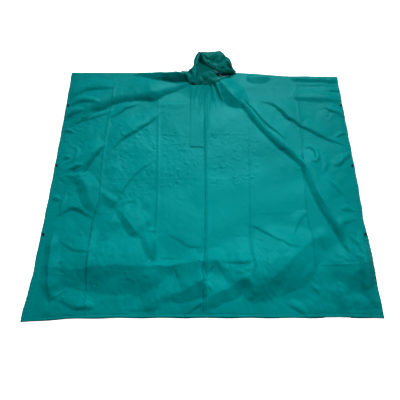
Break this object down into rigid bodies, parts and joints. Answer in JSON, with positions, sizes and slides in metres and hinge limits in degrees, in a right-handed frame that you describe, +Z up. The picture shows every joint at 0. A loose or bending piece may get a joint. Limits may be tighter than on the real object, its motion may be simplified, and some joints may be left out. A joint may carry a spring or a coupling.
{
  "type": "hooded rain poncho",
  "caption": "Square-cut hooded rain poncho of thin coated cloth, laid out flat on its back, with snap-closed sides, a flap over the neck opening and a drawcord hood.",
  "frame": {"origin": "on the surface that the garment lies on, under the middle of its bounding box", "axes": "+X across the garment towards the right of someone looking at its front, +Y from the hem to the hood, +Z up from the surface"},
  "size_m": [1.427, 1.3514, 0.0814],
  "materials": {
    "coated_cloth": "teal woven cloth with a soft waterproof sheen",
    "casing_cloth": "the same cloth doubled over the cord, slightly darker",
    "cord_pale": "pale blue braided cord",
    "lock_navy": "dark navy moulded plastic",
    "snap_black": "near-black snap caps, slightly glossy"
  },
  "bodies": {
    "root": {"back_panel": "coated_cloth", "front_panel": "coated_cloth", "front_placket": "coated_cloth", "hood_right": "coated_cloth", "hood_left": "coated_cloth", "hood_casing_right": "casing_cloth", "hood_casing_left": "casing_cloth", "chin_collar": "coated_cloth", "drawcord": "cord_pale", "cord_knot": "cord_pale", "cord_lock": "lock_navy", "snap_left_top": "snap_black", "snap_left_middle": "snap_black", "snap_left_bottom": "snap_black", "snap_right_top": "snap_black", "snap_right_middle": "snap_black", "snap_right_bottom": "snap_black"}
  },
  "joints": []
}
